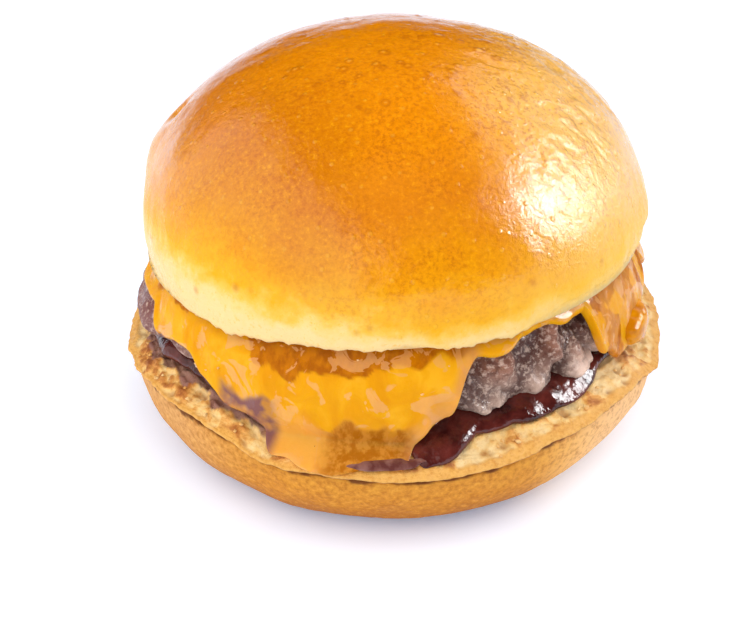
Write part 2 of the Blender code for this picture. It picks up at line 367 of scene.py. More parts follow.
def grain_at(tree, size, detail=3.0, roughness=0.5, stretch=(1, 1, 1), distortion=0.0):
    """The grain group placed in a material with its own values."""
    return add(
        tree, "ShaderNodeGroup", {"node_tree": grain}, Size=size, Stretch=stretch, Detail=detail,
        Roughness=roughness, Distortion=distortion,
    ).outputs["Grain"]


def marked(tree, mark):
    """A mark that turned_skin left on the points."""
    return add(tree, "ShaderNodeAttribute", {"attribute_name": mark}).outputs["Fac"]


def tinted(tree, tone, mark, amount, colour, kind="MIX"):
    """A tone with a colour mixed in where the points are marked."""
    return blended(tree, sums(tree, "MULTIPLY", marked(tree, mark), amount), tone, colour, kind)


def bumped(tree, surface, height, distance, strength, layer="Normal"):
    bump = add(tree, "ShaderNodeBump", Height=height, Distance=distance, Strength=strength)
    tree.links.new(bump.outputs["Normal"], surface.inputs[layer])


crust_finish, tree, surface = new_material("heel_crust")
where = add(tree, "ShaderNodeTexCoord").outputs["Object"]
height_up = add(tree, "ShaderNodeSeparateXYZ", Vector=where).outputs["Z"]
patchy = grain_at(tree, 0.012, 4.0)
level = sums(tree, "MULTIPLY", height_up, 45.0)
level = sums(tree, "ADD", level, sums(tree, "MULTIPLY", patchy, 0.35))
tone = steps(
    tree, level,
    (0.16, (0.24, 0.074, 0.014)), (0.40, (0.49, 0.185, 0.030)), (0.66, (0.66, 0.290, 0.060)),
    (0.90, (0.70, 0.34, 0.10)),
)
speckle = grain_at(tree, 0.0011, 4.0, 0.65)
# Painted light on the window side of the crust.
tone = tinted(tree, tone, "sunny", 0.95, (0.94, 0.54, 0.23))
tone = blended(tree, steps(tree, speckle, (0.48, 0.0), (0.64, 0.55)), tone, (0.42, 0.14, 0.015))
tone = blended(tree, steps(tree, speckle, (0.32, 0.4), (0.46, 0.0)), tone, (0.92, 0.55, 0.18))
tone = tinted(tree, tone, "front", 0.9, (0.97, 0.81, 0.22), "MULTIPLY")
tone = tinted(tree, tone, "pit", 0.5, (0.36, 0.11, 0.012))
# The dark tear line and painted shadow under the crumb's rim.
tone = tinted(tree, tone, "crack", 0.9, (0.16, 0.045, 0.010))
tree.links.new(tone, surface.inputs["Base Color"])
tree.links.new(steps(tree, patchy, (0.3, 0.62), (0.7, 0.8)), surface.inputs["Roughness"])
surface.inputs["Specular IOR Level"].default_value = 0.2
bumped(tree, surface, speckle, 0.00035, 0.7)
heel_crust.data.materials.append(crust_finish)
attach(heel_crust, "root")
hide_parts("bun_heel")


# ----------------------------------------------------------
# The heel's crumb. The top of the lower half: a golden rim that the tear left whole, and inside
# it open cream bread with toasted high spots. It was pulled apart by hand, and the rim stands
# out over the crust.

CRUMB_FACE_ROWS = 66
TORN_FROM = 0.0410
TEAR_DEPTH = 0.0009
HOLE_DEPTH = 0.0010
HOLE_SPACING = 0.0030
EDGE_RAGS = ((0.0006, 0.0070, 2), (0.0003, 0.0016, 2))
LIGHTLY_TOASTED = (55, 120, 20)
# Where juice has soaked the bread: (start, end, soft before, soft after).
SOAKED_BREAD = (-84, -30, 8, 5)
SOAKED_RADIUS = 0.0488
# The width of the whole rim: (start, end, soft ends, width).
RIMS = ((-12, 8, 10, 0.0010), (16, 42, 8, 0.0010), (60, 150, 14, 0.0009), (-170, -80, 16, 0.0012))
crumb_outline = [(0, HEEL_HEIGHT), (0.02, HEEL_HEIGHT), (0.036, HEEL_HEIGHT)]
for i in range(CRUMB_FACE_ROWS + 1):
    radius = mix(0.0400, BUN_RADIUS, i / CRUMB_FACE_ROWS)
    crumb_outline.append((radius, cut_face(radius)))
RIM_ROWS = 8
for i in range(1, RIM_ROWS + 1):
    turn = math.radians(70 - 160 * i / RIM_ROWS)
    crumb_outline.append((
        BUN_RADIUS - 0.0003 + 0.0006 * math.cos(turn),
        EDGE_HEIGHT - 0.0004 + 0.0005 * math.sin(turn),
    ))
UNDER_RIM = len(crumb_outline) - RIM_ROWS // 2
crumb_outline += [
    (CRUST_RADIUS - 0.0010, CREASE_HEIGHT - 0.0002),
    (CRUST_RADIUS - 0.0022, CREASE_HEIGHT - 0.0008),
    (0.04, CREASE_HEIGHT - 0.0030),
    (0, CREASE_HEIGHT - 0.0030),
]


def stretch(bearing, start, end, before, after):
    """1 between two bearings, with its own soft run on each side."""
    middle = (start + end) / 2
    aside = (bearing - middle + 180) % 360 - 180
    past = abs(aside) - (end - start) / 2
    return 1 - ease(past / (before if aside < 0 else after))


def rim_width(bearing):
    width = max(wide * band(bearing, start, end, soft) for start, end, soft, wide in RIMS)
    edge = spot(0.05, bearing, 0.0)
    return width + 0.0009 * lumps(edge, 0.0045, 3)


def crumb_shape(i, radius, bearing, height):
    place = spot(radius, bearing, height)
    inside = BUN_RADIUS - radius
    torn = ease((inside - rim_width(bearing)) / 0.0007)
    shown = ease((radius - TORN_FROM) / 0.003) * (height > CREASE_HEIGHT)
    wide = lumps(place, 0.0060)
    fine = lumps(place, 0.0017, 3)
    distance = noise.voronoi(place / HOLE_SPACING)[0][0]
    hole = (1 - ease(distance / 0.45)) * ease(lumps(place, 0.009) * 3 + 0.5)
    rough = (TEAR_DEPTH * wide + 0.0006 * fine - HOLE_DEPTH * hole - 0.0003) * torn + 0.00015 * fine
    at_edge = ease((radius - BUN_RADIUS + 0.0035) / 0.0025)
    edge = spot(BUN_RADIUS, bearing, 0.0)
    ragged = uneven(edge, EDGE_RAGS) * at_edge
    lift = heel_lift(radius, bearing, height) + rough * shown * (1 - 0.6 * at_edge)
    out = heel_spread(radius, bearing) + ragged + 0.4 * rough * shown
    high = 0.5 + 0.5 * (wide + 0.7 * fine) - 0.16 * band(bearing, *LIGHTLY_TOASTED)
    # Painted shade: the points under the rim get the same mark as the holes, so both come out dark.
    hole = max(hole * torn * shown, float(i >= UNDER_RIM))
    wet_edge = SOAKED_RADIUS + 0.0022 * lumps(spot(0.05, bearing, 0.0), 0.0050, 3)
    soaked = stretch(bearing, *SOAKED_BREAD) * (1 - ease((radius - wet_edge) / 0.0006))
    return radius + out, height + lift, hole, high, torn, soaked


CRUMB_MARKS = ("hole", "high", "torn", "soaked")
heel_crumb = turned_skin("heel_crumb", crumb_outline, 600, crumb_shape, CRUMB_MARKS)
crumb_finish, tree, surface = new_material("heel_crumb")
soft_patches = grain_at(tree, 0.0045, 5.0, 0.65, distortion=0.8)
toast = sums(tree, "MULTIPLY", marked(tree, "high"), 0.5)
toast = sums(tree, "ADD", toast, sums(tree, "MULTIPLY", soft_patches, 0.7))
bread = steps(
    tree, toast,
    (0.42, (0.96, 0.70, 0.34)), (0.57, (0.94, 0.60, 0.21)), (0.64, (0.82, 0.40, 0.095)),
    (0.72, (0.56, 0.20, 0.042)), (0.83, (0.30, 0.08, 0.018)),
)
fibre = grain_at(tree, 0.0009, 5.0, 0.7)
bread = blended(tree, steps(tree, fibre, (0.50, 0.0), (0.70, 0.45)), bread, (0.66, 0.29, 0.06))
whole = steps(tree, fibre, (0.46, 0.0), (0.66, 1.0))
whole = blended(tree, whole, (0.84, 0.44, 0.10), (0.70, 0.30, 0.045))
tone = blended(tree, marked(tree, "torn"), whole, bread)
# Painted shade in the crumb's holes and under its rim.
tone = tinted(tree, tone, "hole", 0.75, (0.34, 0.105, 0.018))
juice = steps(tree, soft_patches, (0.40, (0.16, 0.056, 0.048)), (0.60, (0.36, 0.18, 0.15)))
tone = tinted(tree, tone, "soaked", 0.9, juice)
tree.links.new(tone, surface.inputs["Base Color"])
dry = steps(tree, soft_patches, (0.35, 0.45), (0.65, 0.8))
dry = sums(tree, "SUBTRACT", dry, sums(tree, "MULTIPLY", marked(tree, "soaked"), 0.35))
tree.links.new(dry, surface.inputs["Roughness"])
surface.inputs["Specular IOR Level"].default_value = 0.25
bumped(tree, surface, fibre, 0.0006, 0.8)
heel_crumb.data.materials.append(crumb_finish)
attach(heel_crumb, "root")
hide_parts("bun_heel")


# ----------------------------------------------------------
# The sauce. A thick, dark, glossy sauce spread on the heel and squeezed out past the patty. It
# flows over the torn crumb and gathers in a rounded bead at its edge.

SAUCE_HEIGHT = 0.0016
GAP = 0.0003
SAUCE_FLOOR = HEEL_HEIGHT + GAP
SAUCE_RADIUS = 0.0468
BEAD = 0.0014
SQUEEZED_THICKNESS = 0.0022
# Squeezed out: (start, end, soft before, soft after, how far past the rest).
SQUEEZES = (
    (12, 34, 6, 10, 0.0015),
    (6, 9, 6, 13, 0.0054),
    (30, 42, 8, 16, 0.0028),
    (-108, -66, 12, 12, 0.0016),
    (112, 160, 14, 14, 0.0035),
    (-168, -140, 12, 12, 0.0030),
)
SAUCE_EDGE_LUMPS = ((0.0006, 0.007, 1), (0.0003, 0.0026, 1))
# Where it is wrinkled, and where it is thin: (start, end, soft before, soft after).
WRINKLED = (33, 48, 4, 4)
THINNED = (-6, 3, 4, 9)
PATTY_RADIUS = 0.0475
sauce_outline = [(0, SAUCE_FLOOR + SAUCE_HEIGHT), (0.02, SAUCE_FLOOR + SAUCE_HEIGHT)]
SAUCE_ROWS = 38
for i in range(SAUCE_ROWS + 1):
    radius = mix(0.038, SAUCE_RADIUS - BEAD, i / SAUCE_ROWS)
    sauce_outline.append((radius, SAUCE_FLOOR + SAUCE_HEIGHT))
BEAD_ROWS = 16
for i in range(1, BEAD_ROWS + 1):
    turn = math.radians(90 - 180 * i / BEAD_ROWS)
    sauce_outline.append((
        SAUCE_RADIUS - BEAD + BEAD * math.cos(turn),
        SAUCE_FLOOR + SAUCE_HEIGHT * (0.5 + 0.5 * math.sin(turn)),
    ))
sauce_outline += [(0.038, SAUCE_FLOOR), (0, SAUCE_FLOOR)]


def sauce_shape(i, radius, bearing, height):
    rim = spot(SAUCE_RADIUS, bearing, 0.0)
    squeezed = max(out * stretch(bearing, *where) for *where, out in SQUEEZES)
    squeezed += uneven(rim, SAUCE_EDGE_LUMPS)
    radius += squeezed * ease((radius / SAUCE_RADIUS - 0.78) / 0.2)
    share = (height - SAUCE_FLOOR) / SAUCE_HEIGHT
    floor = cut_face(radius - heel_spread(radius, bearing))
    floor += heel_lift(radius, bearing, EDGE_HEIGHT)
    place = spot(radius, bearing, 0.0)
    rolling = 0.0004 * lumps(place, 0.006)
    wrinkled = stretch(bearing, *WRINKLED)
    rolling += 0.0012 * abs(lumps(place, 0.0040, 2)) * wrinkled
    past_patty = max(0.0, radius - (PATTY_RADIUS - 0.0015))
    ceiling = SAUCE_FLOOR + SAUCE_HEIGHT + 0.0004 + 0.0006 * wrinkled
    ceiling -= (0.3 + 0.5 * wrinkled) * past_patty
    thinned = 1 - 0.75 * stretch(bearing, *THINNED)
    top = min(ceiling, floor + SQUEEZED_THICKNESS * thinned)
    return radius, mix(floor - GAP, top, share) + rolling * share


sauce = turned_skin("sauce_layer", sauce_outline, 600, sauce_shape)
sauce_finish, tree, surface = new_material("sauce")
depth = grain_at(tree, 0.005, 4.0, 0.55)
tree.links.new(
    steps(tree, depth, (0.36, (0.030, 0.004, 0.004)), (0.64, (0.125, 0.020, 0.014))),
    surface.inputs["Base Color"],
)
tree.links.new(steps(tree, depth, (0.3, 0.07), (0.7, 0.18)), surface.inputs["Roughness"])
surface.inputs["IOR"].default_value = 1.47
bumped(tree, surface, grain_at(tree, 0.0014, 3.0), 0.0005, 0.6)
sauce.data.materials.append(sauce_finish)
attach(sauce, "root")
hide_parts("sauce")


# ----------------------------------------------------------
# The patty. Hand-pressed minced beef, griddled grey-brown: coarse upright knuckles with wet
# grooves between them, a wide soft shoulder and a tight turn underneath.

PATTY_HEIGHT = 0.0156
PATTY_FLOOR = SAUCE_FLOOR + SAUCE_HEIGHT + GAP
PATTY_TOP = PATTY_FLOOR + PATTY_HEIGHT
SHOULDER_WIDTH = 0.0095
SHOULDER_DROP = 0.0135
SHOULDER_RADIUS = PATTY_RADIUS - SHOULDER_WIDTH
SHOULDER_LEVEL = PATTY_TOP - SHOULDER_DROP
LEAN_FRONT = math.radians(3.5)
LEAN_RIGHT = math.radians(1.4)
KNUCKLE_SIZE = 0.0056
GROOVE_DEPTH = 0.0032
CRUMBLE = 0.0010
SCALLOP = 0.0012
UNDER_ROWS = 12
# Where it swells out under the shoulder: (start, end, soft ends, how far).
PATTY_BULGES = ((-96, -74, 13, 0.0046), (14, 42, 12, 0.0012))
# Where sauce has coloured it: (start, end, soft before, soft after).
SAUCE_STAINED = (-112, -60, 10, 8)
# Where its lower lip hangs lower: (start, end, soft ends).
LIP_LOW = (8, 44, 10)
# Deep clefts between the knuckles: (bearing, half width in degrees, depth).
CLEFTS = ((41.5, 1.4, 0.0020), (13.0, 1.6, 0.0012), (-38.0, 1.8, 0.0014))


def lean(radius, bearing, height):
    """How far the filling is lifted: nothing at the patty's floor, all of it at its top."""
    turn = math.radians(bearing)
    rise = radius * (math.cos(turn) * math.tan(LEAN_FRONT) + math.sin(turn) * math.tan(LEAN_RIGHT))
    return rise * min(max((height - PATTY_FLOOR) / PATTY_HEIGHT, 0.0), 1.0)


def patty_edge(height):
    rise = max(0.0, (height - SHOULDER_LEVEL) / SHOULDER_DROP)
    return SHOULDER_RADIUS + SHOULDER_WIDTH * math.sqrt(max(0.0, 1 - rise * rise))


def patty_bulge(bearing, height):
    bulge = sum(out * band(bearing, start, end, soft) for start, end, soft, out in PATTY_BULGES)
    return bulge * ease((PATTY_TOP - height) / SHOULDER_DROP - 0.38)


def knuckled(place):
    """How far a point lies into a groove: 0 on top of a knuckle, 1 between two."""
    aside = Vector((lumps(place, 0.008), lumps(place, 0.0075), lumps(place, 0.007)))
    bent = place + 0.0022 * aside
    distance = noise.voronoi(Vector((bent.x, bent.y, 0.8 * bent.z)) / KNUCKLE_SIZE)[0][0]
    return ease((distance - 0.22) / 0.55)


patty_outline = [(0, PATTY_TOP), (0.02, PATTY_TOP)]
PATTY_SIDE_ROWS = 60
for i in range(PATTY_SIDE_ROWS + 1):
    turn = math.radians(90 - 90 * i / PATTY_SIDE_ROWS)
    radius = SHOULDER_RADIUS + SHOULDER_WIDTH * math.cos(turn)
    patty_outline.append((radius, SHOULDER_LEVEL + SHOULDER_DROP * math.sin(turn)))
under = SHOULDER_LEVEL - PATTY_FLOOR
for i in range(1, UNDER_ROWS + 1):
    turn = math.radians(90 * i / UNDER_ROWS)
    radius = PATTY_RADIUS - under + under * math.cos(turn)
    patty_outline.append((radius, SHOULDER_LEVEL - under * math.sin(turn)))
patty_outline += [(0.03, PATTY_FLOOR), (0, PATTY_FLOOR)]


def patty_shape(i, radius, bearing, height):
    place = spot(radius, bearing, height)
    side = ease((radius / PATTY_RADIUS - 0.75) / 0.15)
    stained = stretch(bearing, *SAUCE_STAINED)
    groove = knuckled(place) * (1 - 0.75 * stained)
    crumbly = lumps(place, 0.0026, 3)
    cleft = 0.0
    for middle, half, deep in CLEFTS:
        aside = (bearing - middle + 1.5 * lumps(place, 0.006) + 180) % 360 - 180
        cleft += deep * math.exp(-(aside / half) ** 2)
    out = patty_bulge(bearing, height) - GROOVE_DEPTH * groove - cleft
    out += (CRUMBLE * crumbly + 0.0006 * lumps(place, 0.0065)) * (1 - 0.8 * stained)
    low = ease((SHOULDER_LEVEL + 0.0050 - height) / 0.006)
    scallop = SCALLOP * low * (lumps(spot(radius, bearing, 0.0), 0.0055) - 0.1)
    scallop -= 0.0008 * low * band(bearing, *LIP_LOW)
    lifted = height + lean(radius, bearing, height) + scallop * side
    # Crumbly splits, painted dark together with the grooves as painted shade.
    split = 0.8 * ease((-crumbly - 0.12) / 0.3) * (1 - stained) * (1 - 0.7 * low)
    return radius + out * side, lifted, min(1.0, max(groove, split) + 400 * cleft), low, stained


patty = turned_skin("beef_patty", patty_outline, 640, patty_shape, ("groove", "low", "stained"))
beef_finish, tree, surface = new_material("beef")
mottle = grain_at(tree, 0.0040, 5.0, 0.65, distortion=0.6)
tone = steps(
    tree, mottle,
    (0.34, (0.15, 0.050, 0.034)), (0.45, (0.29, 0.120, 0.080)), (0.54, (0.44, 0.205, 0.140)),
    (0.61, (0.34, 0.145, 0.075)), (0.70, (0.22, 0.075, 0.028)),
)
# The upper part is darker: partly the sear, partly painted shade under the cheese.
seared_and_shaded = steps(tree, mottle, (0.44, 0.9), (0.58, 0.25))
seared_and_shaded = sums(tree, "MULTIPLY", seared_and_shaded, sums(tree, "SUBTRACT", 1.0, marked(tree, "low")))
tone = blended(tree, sums(tree, "MULTIPLY", seared_and_shaded, 0.85), tone, (0.19, 0.075, 0.045))
# Painted sheen and painted light: the lower lip is painted pale pink, standing in for the wet lip's
# reflection and for light where the cheese shades it.
tone = tinted(tree, tone, "low", 0.92, (1.0, 0.72, 0.57))
# Painted shade: the grooves, clefts and splits between the knuckles are painted dark.
tone = tinted(tree, tone, "groove", 0.90, (0.075, 0.025, 0.020))
tone = tinted(tree, tone, "stained", 0.9, (0.19, 0.062, 0.060))
flecks = grain_at(tree, 0.0010, 4.0, 0.65)
tone = blended(tree, steps(tree, flecks, (0.50, 0.0), (0.64, 0.55)), tone, (0.84, 0.62, 0.50))
tone = blended(tree, steps(tree, flecks, (0.30, 0.6), (0.42, 0.0)), tone, (0.14, 0.045, 0.028))
tree.links.new(tone, surface.inputs["Base Color"])
wet = steps(tree, grain_at(tree, 0.0050, 3.0), (0.50, 0.0), (0.58, 1.0))
tree.links.new(steps(tree, wet, (0.0, 0.6), (1.0, 0.35)), surface.inputs["Roughness"])
unstained = sums(tree, "MULTIPLY", marked(tree, "stained"), 0.6)
unstained = sums(tree, "SUBTRACT", 1.0, unstained)
wet = sums(tree, "MULTIPLY", wet, unstained)
tree.links.new(sums(tree, "MULTIPLY", wet, 0.55), surface.inputs["Coat Weight"])
surface.inputs["Coat Roughness"].default_value = 0.06
surface.inputs["Specular IOR Level"].default_value = 0.15
bumped(tree, surface, flecks, 0.0008, 0.9)
bumped(tree, surface, grain_at(tree, 0.0024, 3.0, 0.6), 0.0016, 1.0, "Coat Normal")
patty.data.materials.append(beef_finish)
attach(patty, "root")
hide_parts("patty")


# ----------------------------------------------------------
# The cheese. A slice of orange melting cheese laid on the hot patty: it has gone soft, folded
# over the shoulder and run down in flaps with thick rounded hems, one of them right down to
# the heel.

CHEESE_THICKNESS = 0.0018
CHEESE_FLOOR = PATTY_TOP + GAP
FOLD_FALL = 0.0026
LEAST_FALL = 0.0030
# Flaps, which add up: (start, end, soft before, soft after, how much further it falls).
FLAPS = (
    (-80, -68, 8, 6, 0.0044),
    (-63, 10.5, 5, 8, 0.0066),
    (-64, -60, 4, 5, 0.0012),
    (-45, 11, 5, 4, 0.0026),
    (-38, 5, 7, 7, 0.0026),
    (-25, 1, 8, 7, 0.0068),
    (-37, -32, 4, 4, 0.0018),
    (15, 47, 5, 5, 0.0015),
    (18, 25, 5, 5, 0.0010),
    (51.5, 66, 4, 6, 0.0088),
    (58, 65, 6, 6, 0.0034),
    (70, 76, 5, 6, 0.0075),
    (88, 118, 12, 12, 0.0070),
    (128, 150, 10, 10, 0.0110),
    (168, 214, 12, 12, 0.0055),
    (-128, -104, 12, 14, 0.0088),
)
HEM_LUMPS = ((0.0010, 0.0070, 1), (0.0003, 0.0032, 1))
HEM_SWELL = 0.22
# Marks on it: (start, end, soft before, soft after).
# Where the painted shade under the crown's lip reaches further down.
DEEPER_SHADE = (-28, -4, 10, 7)
AMBER_STRIPES = (50, 82, 4, 8)
BROWN_HEM = (-12, 1, 5, 4)
PURPLE_HEM = (-38, -27, 3, 3)
PINK_FILM = (48, 85, 4, 8)
CURL = (3, 16, 3, 4)


def cut_face_radius(height):
    """The radius at which the heel's cut face has fallen to this height."""
    fall = max(0.0, (HEEL_HEIGHT - height) / (HEEL_HEIGHT - EDGE_HEIGHT))
    return LEVEL_RADIUS + (BUN_RADIUS - LEVEL_RADIUS) * math.sqrt(fall)


def hem_fall(bearing):
    """How far below its top the cheese hangs."""
    fall = LEAST_FALL + sum(further * stretch(bearing, *where) for *where, further in FLAPS)
    rim = spot(0.048, bearing, 0.0)
    return fall + uneven(rim, HEM_LUMPS)


def drape_radius(bearing, height):
    """Where its inner face hangs: down the patty, then out over the heel's cut face."""
    on_patty = patty_edge(height) + patty_bulge(bearing, height) + 0.0002
    level = height - heel_lift(BUN_RADIUS, bearing, EDGE_HEIGHT)
    on_heel = cut_face_radius(level) + heel_spread(BUN_RADIUS, bearing) + 0.0006
    reach = 0.0012
    if abs(on_patty - on_heel) > reach:
        return max(on_patty, on_heel)
    share = 0.5 + (on_patty - on_heel) / (2 * reach)
    return mix(on_heel, on_patty, share) + reach * share * (1 - share)


FOLD_ROWS = 12
HANG_ROWS = 58
HEM_ROWS = 8
cheese_outline = [(0, 0), (0.02, 0), (SHOULDER_RADIUS - 0.004, 0)]
cheese_outline += [(SHOULDER_RADIUS, 0)] * (FOLD_ROWS + HANG_ROWS + HEM_ROWS + 1)
INNER_ROWS = 14
cheese_outline += [(SHOULDER_RADIUS, 0)] * INNER_ROWS
cheese_outline += [(SHOULDER_RADIUS - 0.004, -1), (0, CHEESE_FLOOR)]
cheese_outline[0] = (0, CHEESE_FLOOR + CHEESE_THICKNESS)


def cheese_shape(i, radius, bearing, height):
    if i < 3:
        height = CHEESE_FLOOR + CHEESE_THICKNESS
        return radius, height + lean(radius, bearing, height), 1.0, 0.0, 0.0, 0.0
    if height < 0:
        return radius, CHEESE_FLOOR + lean(radius, bearing, CHEESE_FLOOR), 1.0, 0.0, 0.0, 0.0
    step = i - 3
    hem = hem_fall(bearing)
    around = 0.0
    if step <= FOLD_ROWS:
        fall = FOLD_FALL * (step / FOLD_ROWS) ** 2
    elif step <= FOLD_ROWS + HANG_ROWS:
        fall = mix(FOLD_FALL, hem, (step - FOLD_ROWS) / HANG_ROWS)
    elif step <= FOLD_ROWS + HANG_ROWS + HEM_ROWS:
        fall = hem
        around = (step - FOLD_ROWS - HANG_ROWS) / HEM_ROWS
    else:
        fall = hem * (1 - (step - FOLD_ROWS - HANG_ROWS - HEM_ROWS) / INNER_ROWS)
        around = 1.0
    height = CHEESE_FLOOR - fall
    inner = drape_radius(bearing, height)
    place = spot(inner, bearing, height)
    near_hem = ease(1 - (hem - fall) / 0.0022)
    thin = 0.62 * ease((fall - 0.0150) / 0.005)
    thick = CHEESE_THICKNESS * (1 - thin + HEM_SWELL * near_hem) + 0.00035 * lumps(place, 0.0065)
    thick += 0.00022 * lumps(Vector((place.x, place.y, 0.45 * place.z)), 0.0026, 2) * (1 - near_hem)
    runs = lumps(Vector((place.x, place.y, 0.6 * place.z)), 0.0075, 3)
    # Painted shade: the cheese just under the crown's lip is marked dark amber, deeper at the front; on
    # the right flaps the same mark makes amber stripes.
    deep = 0.0044 + 0.0034 * stretch(bearing, *DEEPER_SHADE) + 0.0034 * runs
    amber = ease(1.0 - (fall - deep) / 0.0005) * (1 - near_hem)
    stripes = lumps(Vector((place.x, place.y, 0.2 * place.z)), 0.0036, 2)
    amber = max(amber, stretch(bearing, *AMBER_STRIPES) * ease((stripes - 0.04) / 0.05))
    soaked = stretch(bearing, *BROWN_HEM) * ease((fall - 0.0145 - 0.004 * runs) / 0.001)
    stain = stretch(bearing, *PURPLE_HEM) * ease((fall - 0.0118 + 0.003 * runs) / 0.0015)
    curl = stretch(bearing, *CURL) * ease(1 - (hem - fall) / 0.0045)
    at_right = 0.5 * stretch(bearing, *PINK_FILM) * ease(runs / 0.1)
    film = max(ease((fall - 0.0140 - 0.004 * runs) / 0.003), at_right, curl)
    stain = max(stain, 0.3 * curl)
    if step > FOLD_ROWS + HANG_ROWS:
        turn = math.pi * around
        out = thick * (0.5 + 0.5 * math.cos(turn))
        height -= 0.5 * thick * math.sin(turn)
    else:
        out = thick
    # Over the fold the thickness turns from upwards to outwards.
    outwards = math.sqrt(ease(fall / 0.009))
    radius = inner + out * outwards
    height += out * (1 - outwards) + lean(radius, bearing, height)
    return radius, height, amber, soaked, stain, film


CHEESE_MARKS = ("amber", "soaked", "stain", "film")
cheese = turned_skin("melted_cheese", cheese_outline, 720, cheese_shape, CHEESE_MARKS)
cheese_finish, tree, surface = new_material("cheese")
streak = grain_at(tree, 0.0055, 4.0, 0.5, stretch=(1, 1, 0.6), distortion=1.0)
fine_streak = grain_at(tree, 0.0016, 4.0, 0.6, stretch=(1, 1, 0.5))
tone = steps(
    tree, streak,
    (0.35, (0.81, 0.385, 0.012)), (0.5, (0.76, 0.33, 0.003)), (0.65, (0.72, 0.285, 0.002)),
)
# Dark amber: painted shade of the crown's lip, and the amber stripes on the right flaps.
dark = steps(tree, fine_streak, (0.38, (0.40, 0.105, 0.0005)), (0.62, (0.56, 0.175, 0.001)))
tone = blended(tree, marked(tree, "amber"), tone, dark)
greasy = steps(tree, grain_at(tree, 0.0068, 3.0, 0.5, distortion=1.6), (0.555, 0.0), (0.57, 1.0))
tone = blended(tree, sums(tree, "MULTIPLY", greasy, 0.55), tone, (0.76, 0.36, 0.10))
tone = tinted(tree, tone, "film", 0.7, (0.80, 0.36, 0.075))
pits = steps(tree, fine_streak, (0.42, 1.0), (0.58, 0.55))
tone = tinted(tree, tone, "soaked", pits, (0.42, 0.135, 0.006))
blotch = steps(tree, grain_at(tree, 0.0046, 2.5), (0.36, 0.45), (0.48, 1.0))
tone = tinted(tree, tone, "stain", blotch, (0.23, 0.095, 0.085))
tree.links.new(tone, surface.inputs["Base Color"])
tree.links.new(steps(tree, streak, (0.35, 0.20), (0.65, 0.34)), surface.inputs["Roughness"])
surface.inputs["Specular IOR Level"].default_value = 0.06
surface.inputs["Coat Roughness"].default_value = 0.08
surface.inputs["Subsurface Weight"].default_value = 0.3
surface.inputs["Subsurface Radius"].default_value = (1.0, 0.4, 0.08)
surface.inputs["Subsurface Scale"].default_value = 0.002
tree.links.new(sums(tree, "MULTIPLY", greasy, 0.5), surface.inputs["Coat Weight"])
dimples = sums(tree, "ADD", grain_at(tree, 0.0030, 3.0), sums(tree, "MULTIPLY", fine_streak, 0.3))
bumped(tree, surface, dimples, 0.0006, 0.4)
cheese.data.materials.append(cheese_finish)
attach(cheese, "root")
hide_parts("cheese")


# ----------------------------------------------------------
# The crown. The bun's domed top: soft bread brushed with egg and baked a deep glossy orange,
# paling to cream at the lip where the next bun touched it. Fine blisters and wrinkles mark the
# glaze, and the lip was torn from the heel.

CROWN_RADIUS = 0.0487
CROWN_BASE = 0.0393
CROWN_HEIGHT = 0.0396
CROWN_WAIST = 0.004
DOME_FULLNESS = 2.06
LIP_TUCK = 0.0004
LIP_WIDTH = 0.0012
CROWN_CLEARANCE = 0.0016
DOME_WAVES = ((2, 0.0004, 1.0), (3, 0.0004, 2.4))
GLAZE_LUMPS = ((0.00012, 0.0035, 1), (0.00035, 0.013, 1))
BLISTER_HEIGHT = 0.00022
WRINKLE_DEPTH = 0.0007
# Where the lip hangs lower, or higher: (start, end, soft ends, fall).
LIP_SAGS = ((-50, -34, 14, 0.0011), (14, 26, 10, 0.0010), (40, 62, 15, -0.0010))
# How the bake varies round the dome, and where light and shade are painted on it: (start, end, soft
# ends).
WRINKLED_SIDE = (50, 118, 22)
LESS_BAKED = (-105, -45, 40)
MORE_BAKED = (-12, 45, 20)
# Painted light: the side of the dome that faces the window is painted paler.
WINDOW_LIT_SIDE = (56, 125, 40)
# Painted shade: the left front of the dome is painted darker.
SHADED_PATCH = (-52, -16, 16)
# Soft dents and, with a negative depth, swellings: (bearing, height, size, depth).
DENTS = (
    (-98, 0.0180, 0.0075, -0.0016),
    (-96, 0.0245, 0.0020, 0.0012),
    (82, 0.006, 0.009, -0.0009),
    (62, 0.029, 0.010, 0.0010),
    (78, 0.017, 0.010, 0.0006),
    (150, 0.024, 0.014, 0.0012),
)
DOME_ROWS = 130
crown_outline = [(0, CROWN_HEIGHT)]
for i in range(1, DOME_ROWS):
    turn = math.radians(90 - 90 * i / (DOME_ROWS - 1))
    radius = CROWN_RADIUS * math.cos(turn) ** (2 / DOME_FULLNESS)
    rise = math.sin(turn) ** (2 / DOME_FULLNESS)
    crown_outline.append((radius, mix(CROWN_WAIST, CROWN_HEIGHT, rise)))
lip = CROWN_RADIUS - LIP_TUCK
LIP_ROWS = 12
for i in range(1, LIP_ROWS + 1):
    share = i / LIP_ROWS
    crown_outline.append((
        CROWN_RADIUS - LIP_TUCK * ease(share) - 0.0004 * max(0.0, share - 0.8) / 0.2,
        mix(CROWN_WAIST, 0.0003, share),
    ))
LAST_OUTSIDE = len(crown_outline)
crown_outline += [(lip - 0.5 * LIP_WIDTH, 0), (lip - LIP_WIDTH, 0.0004)]
spare = CHEESE_THICKNESS + CROWN_CLEARANCE
for i in range(11):
    turn = math.radians(50 + 4 * i)
    crown_outline.append((
        SHOULDER_RADIUS + (SHOULDER_WIDTH + spare) * math.cos(turn),
        SHOULDER_LEVEL - CROWN_BASE + (SHOULDER_DROP + spare) * math.sin(turn),
    ))
crown_outline += [(0.02, crown_outline[-1][1]), (0, crown_outline[-1][1])]

